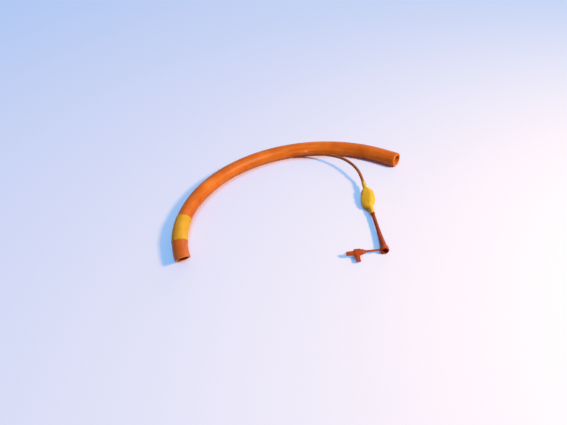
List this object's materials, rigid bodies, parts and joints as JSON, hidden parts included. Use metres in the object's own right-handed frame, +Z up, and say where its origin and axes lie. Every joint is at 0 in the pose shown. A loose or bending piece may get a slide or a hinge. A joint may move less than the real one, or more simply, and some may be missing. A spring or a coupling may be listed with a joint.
{
  "type": "endotracheal tube",
  "caption": "Curved rubber airway tube with a bevelled tip and a let-down cuff, and a thin line to a pilot balloon, a filling tube and a stopper on a strap.",
  "frame": {"origin": "on the surface it lies on, under the middle of the curved tube's outline", "axes": "+X along the machine end's bore, pointing out of it; +Y from the patient end towards the machine end; +Z up from the surface"},
  "size_m": [0.169, 0.1981, 0.012],
  "materials": {
    "tube_rubber": "satin orange-red rubber",
    "latex": "soft yellow latex",
    "line_rubber": "satin brown rubber",
    "dark_rubber": "satin dark red rubber"
  },
  "bodies": {
    "root": {"main_tube": "tube_rubber", "cuff": "latex", "inflation_line": "line_rubber", "pilot_balloon": "latex", "filling_tube": "dark_rubber", "stopper": "dark_rubber"}
  },
  "joints": []
}
